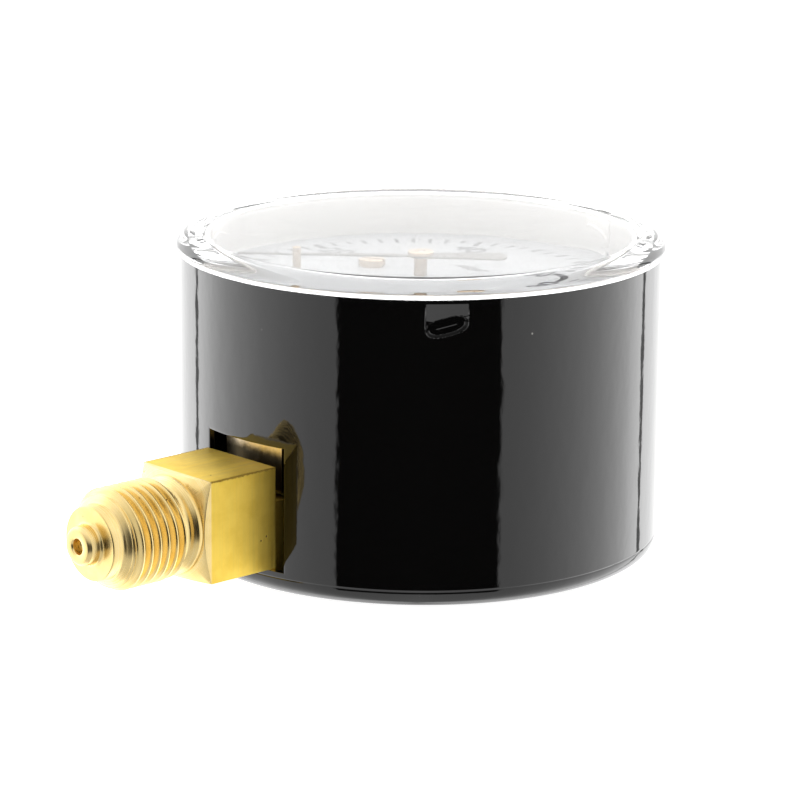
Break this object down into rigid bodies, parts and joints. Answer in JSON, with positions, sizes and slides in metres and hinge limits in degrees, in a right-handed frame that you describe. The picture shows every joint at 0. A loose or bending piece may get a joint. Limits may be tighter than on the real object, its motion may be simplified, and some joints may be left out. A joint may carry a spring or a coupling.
{
  "type": "pressure gauge",
  "caption": "Round low-pressure dial gauge with a deep black steel case, clear snap window, capsule movement and a brass threaded stem on its side.",
  "frame": {"origin": "centre of the case's flat back, on the case's axis", "axes": "+Z out through the dial and the window, -Y along the stem towards its spigot (six o'clock on the dial), +X towards three o'clock"},
  "size_m": [0.064, 0.0898, 0.042],
  "materials": {
    "case_paint": "gloss black stove enamel on drawn steel",
    "window_plastic": "crystal clear moulded plastic",
    "dial_face": "matt white aluminium with black print",
    "stem_brass": "machined, brushed flats, bare",
    "movement_brass": "stamped and turned, bare",
    "screw_steel": "zinc plated",
    "arbor_steel": "turned, polished",
    "capsule_bronze": "rolled and pressed copper alloy",
    "spring_bronze": "rolled strip",
    "pointer_paint": "matt, aluminium strip",
    "seal_fibre": "pressed fibre"
  },
  "bodies": {
    "housing": {"case": "case_paint", "window": "window_plastic", "dial": "dial_face", "socket": "stem_brass", "socket_screw_rear": "screw_steel", "socket_screw_front": "screw_steel", "capsule_seal": "seal_fibre", "lower_diaphragm": "capsule_bronze", "hairspring": "spring_bronze", "stop_pin": "movement_brass", "dial_screw_left": "movement_brass", "dial_screw_right": "movement_brass", "dial_post_left": "movement_brass", "dial_post_right": "movement_brass", "carrier": "movement_brass", "carrier_screw_left": "movement_brass", "carrier_screw_right": "movement_brass", "base_screw_left": "movement_brass", "base_screw_right": "movement_brass", "bracket_screw": "movement_brass", "capsule_inlet": "movement_brass", "rocker_bracket": "movement_brass", "lower_plate": "movement_brass", "upper_plate": "movement_brass", "pillar_1": "movement_brass", "pillar_2": "movement_brass", "pillar_3": "movement_brass", "pillar_4": "movement_brass", "plate_screw_1": "movement_brass", "plate_screw_2": "movement_brass", "plate_screw_3": "movement_brass", "plate_screw_4": "movement_brass", "hairspring_stud": "movement_brass"},
    "sector": {"sector_gear": "movement_brass", "sector_arbor": "arbor_steel"},
    "pointer_spindle": {"pinion_arbor": "arbor_steel", "hairspring_collet": "movement_brass", "pointer": "pointer_paint", "pointer_hub": "movement_brass"},
    "rocker": {"rocker_shaft": "arbor_steel", "lift_arm": "movement_brass", "drive_arm": "movement_brass", "link_pin_upper": "arbor_steel"},
    "capsule_centre": {"upper_diaphragm": "capsule_bronze", "capsule_post": "movement_brass", "link_pin_lower": "arbor_steel"},
    "link": {"lift_link": "movement_brass"}
  },
  "joints": [
    {"name": "sector_swing", "type": "hinge", "parent": "housing", "child": "sector", "pos_m": [-0.01119, 0.007, 0.0286], "axis": [0, 0, 1], "range_deg": [0, 27]},
    {"name": "pointer_spin", "type": "hinge", "parent": "housing", "child": "pointer_spindle", "pos_m": [0, 0, 0.0286], "axis": [0, 0, 1], "range_deg": [-270, 0]},
    {"name": "rocker_tilt", "type": "hinge", "parent": "housing", "child": "rocker", "pos_m": [0, 0.007, 0.0226], "axis": [-1, 0, 0], "range_deg": [0, 16.5]},
    {"name": "capsule_lift", "type": "slide", "parent": "housing", "child": "capsule_centre", "axis": [0, 0, 1], "range_m": [0, 0.00198], "stiffness_N_per_m": 200, "springref_m": -0.0005, "deforming": ["upper_diaphragm"]},
    {"name": "link_tilt", "type": "hinge", "parent": "capsule_centre", "child": "link", "pos_m": [0, 0, 0.0194], "axis": [-1, 0, 0], "range_deg": [0, 5.2]}
  ],
  "couplings": [
    {"joint": "sector_swing", "follows": "capsule_lift", "rad_per_m": 238.48},
    {"joint": "pointer_spin", "follows": "capsule_lift", "rad_per_m": -2384.8},
    {"joint": "rocker_tilt", "follows": "capsule_lift", "rad_per_m": 144.86},
    {"joint": "link_tilt", "follows": "capsule_lift", "rad_per_m": 45.046}
  ]
}
